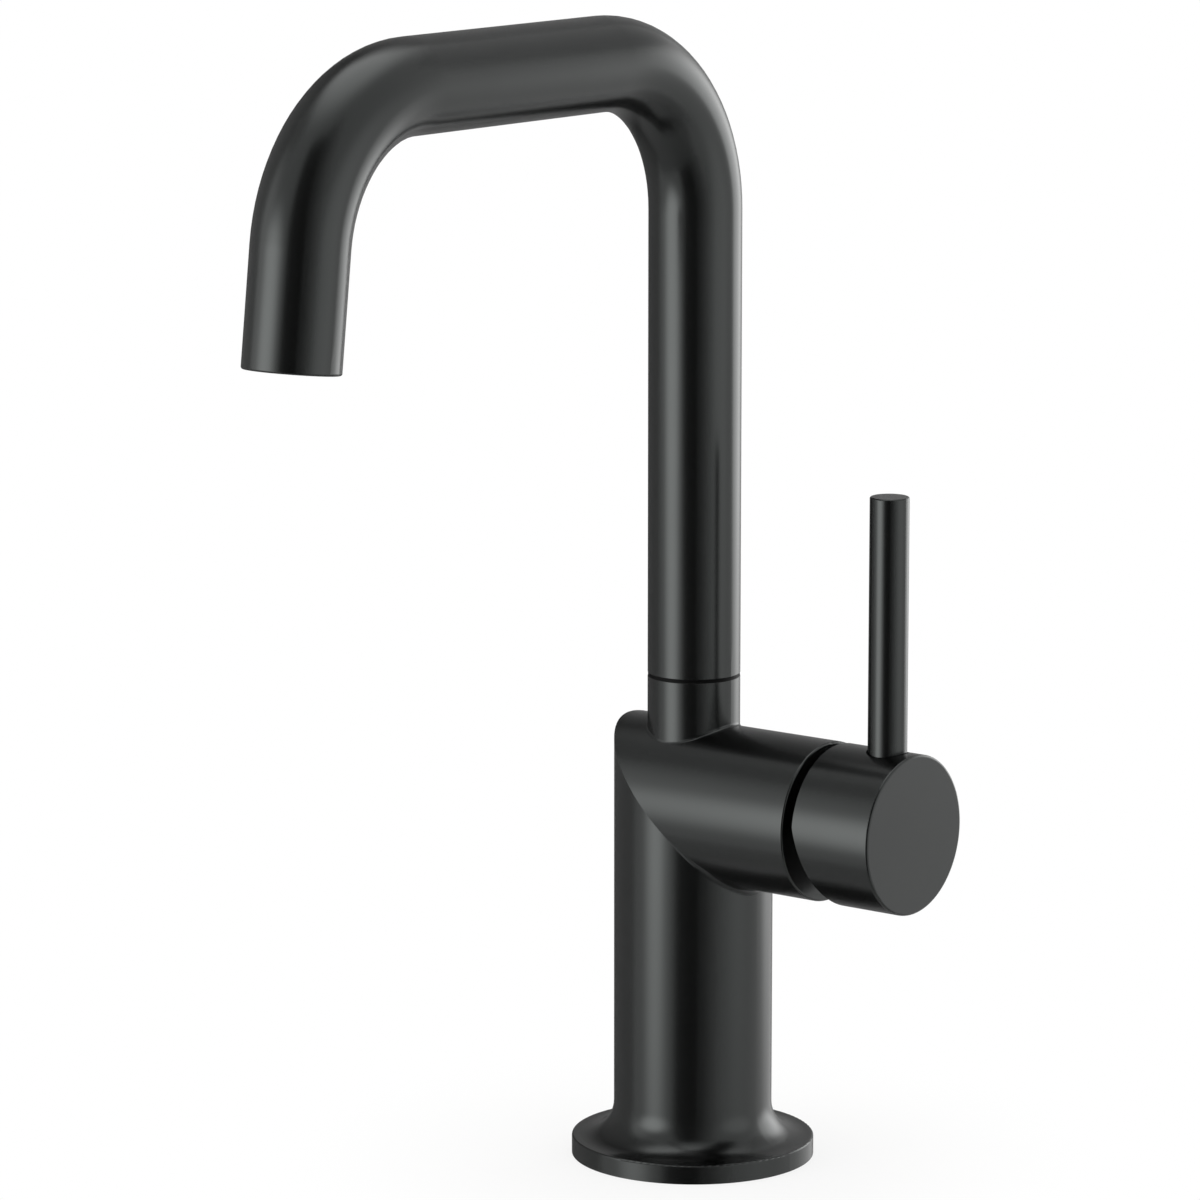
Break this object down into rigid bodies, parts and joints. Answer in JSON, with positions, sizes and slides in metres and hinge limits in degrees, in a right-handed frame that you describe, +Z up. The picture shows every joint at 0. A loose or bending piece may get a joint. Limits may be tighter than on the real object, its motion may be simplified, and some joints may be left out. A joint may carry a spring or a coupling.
{
  "type": "bar faucet",
  "caption": "Single-hole bar faucet with a flanged column, mitred side barrel, upright lever handle that turns and tilts, and a tall squared tube spout that swivels.",
  "frame": {"origin": "centre of the base flange's underside, on the deck", "axes": "+Z up, spout towards -Y, handle on the +X side"},
  "size_m": [0.1077, 0.2118, 0.3179],
  "materials": {
    "black_body": "satin",
    "black_spout": "satin",
    "black_handle": "satin",
    "black_plastic": "matte",
    "cartridge_plastic": "satin",
    "brass": "satin",
    "copper": "satin",
    "stainless": "satin",
    "rubber": "matte",
    "ceramic": "satin",
    "glide_plastic": "matte",
    "grid_plastic": "satin"
  },
  "bodies": {
    "fixed_body": {"body": "black_body", "base_gasket": "rubber", "inlet_block": "brass", "hot_riser": "copper", "cold_riser": "copper", "port_seals": "rubber", "cartridge_base": "cartridge_plastic", "fixed_disc": "ceramic", "cartridge_housing": "cartridge_plastic", "bonnet_nut": "brass", "bonnet_cap": "black_body", "spout_post": "brass", "post_seals": "rubber", "retaining_ring": "stainless", "glide_ring": "glide_plastic"},
    "turner": {"stem_guide": "cartridge_plastic", "pivot_pin": "stainless"},
    "disc_slider": {"moving_disc": "ceramic", "disc_carrier": "cartridge_plastic"},
    "handle": {"valve_stem": "brass", "handle_hub": "black_handle", "lever": "black_handle", "set_screw": "stainless"},
    "spout_arm": {"spout": "black_spout", "spout_bush": "brass", "outlet_sleeve": "brass", "aerator_seal": "rubber", "aerator_housing": "black_plastic", "flow_regulator": "grid_plastic", "stream_grid": "grid_plastic"}
  },
  "joints": [
    {"name": "spout_swivel", "type": "hinge", "parent": "fixed_body", "child": "spout_arm", "pos_m": [0, 0, 0.1354], "axis": [0, 0, 1], "continuous": true},
    {"name": "handle_turn", "type": "hinge", "parent": "fixed_body", "child": "turner", "pos_m": [0.03642, 0, 0.10023], "axis": [1, 0, 0], "range_deg": [-45, 45]},
    {"name": "handle_tilt", "type": "hinge", "parent": "turner", "child": "handle", "pos_m": [0.03642, 0, 0.10023], "axis": [0, 1, 0], "range_deg": [0, 20]},
    {"name": "disc_slide", "type": "slide", "parent": "turner", "child": "disc_slider", "axis": [0, 0, 1], "range_m": [0, 0.00384]}
  ],
  "couplings": [
    {"joint": "disc_slide", "follows": "handle_tilt", "m_per_rad": 0.011}
  ]
}
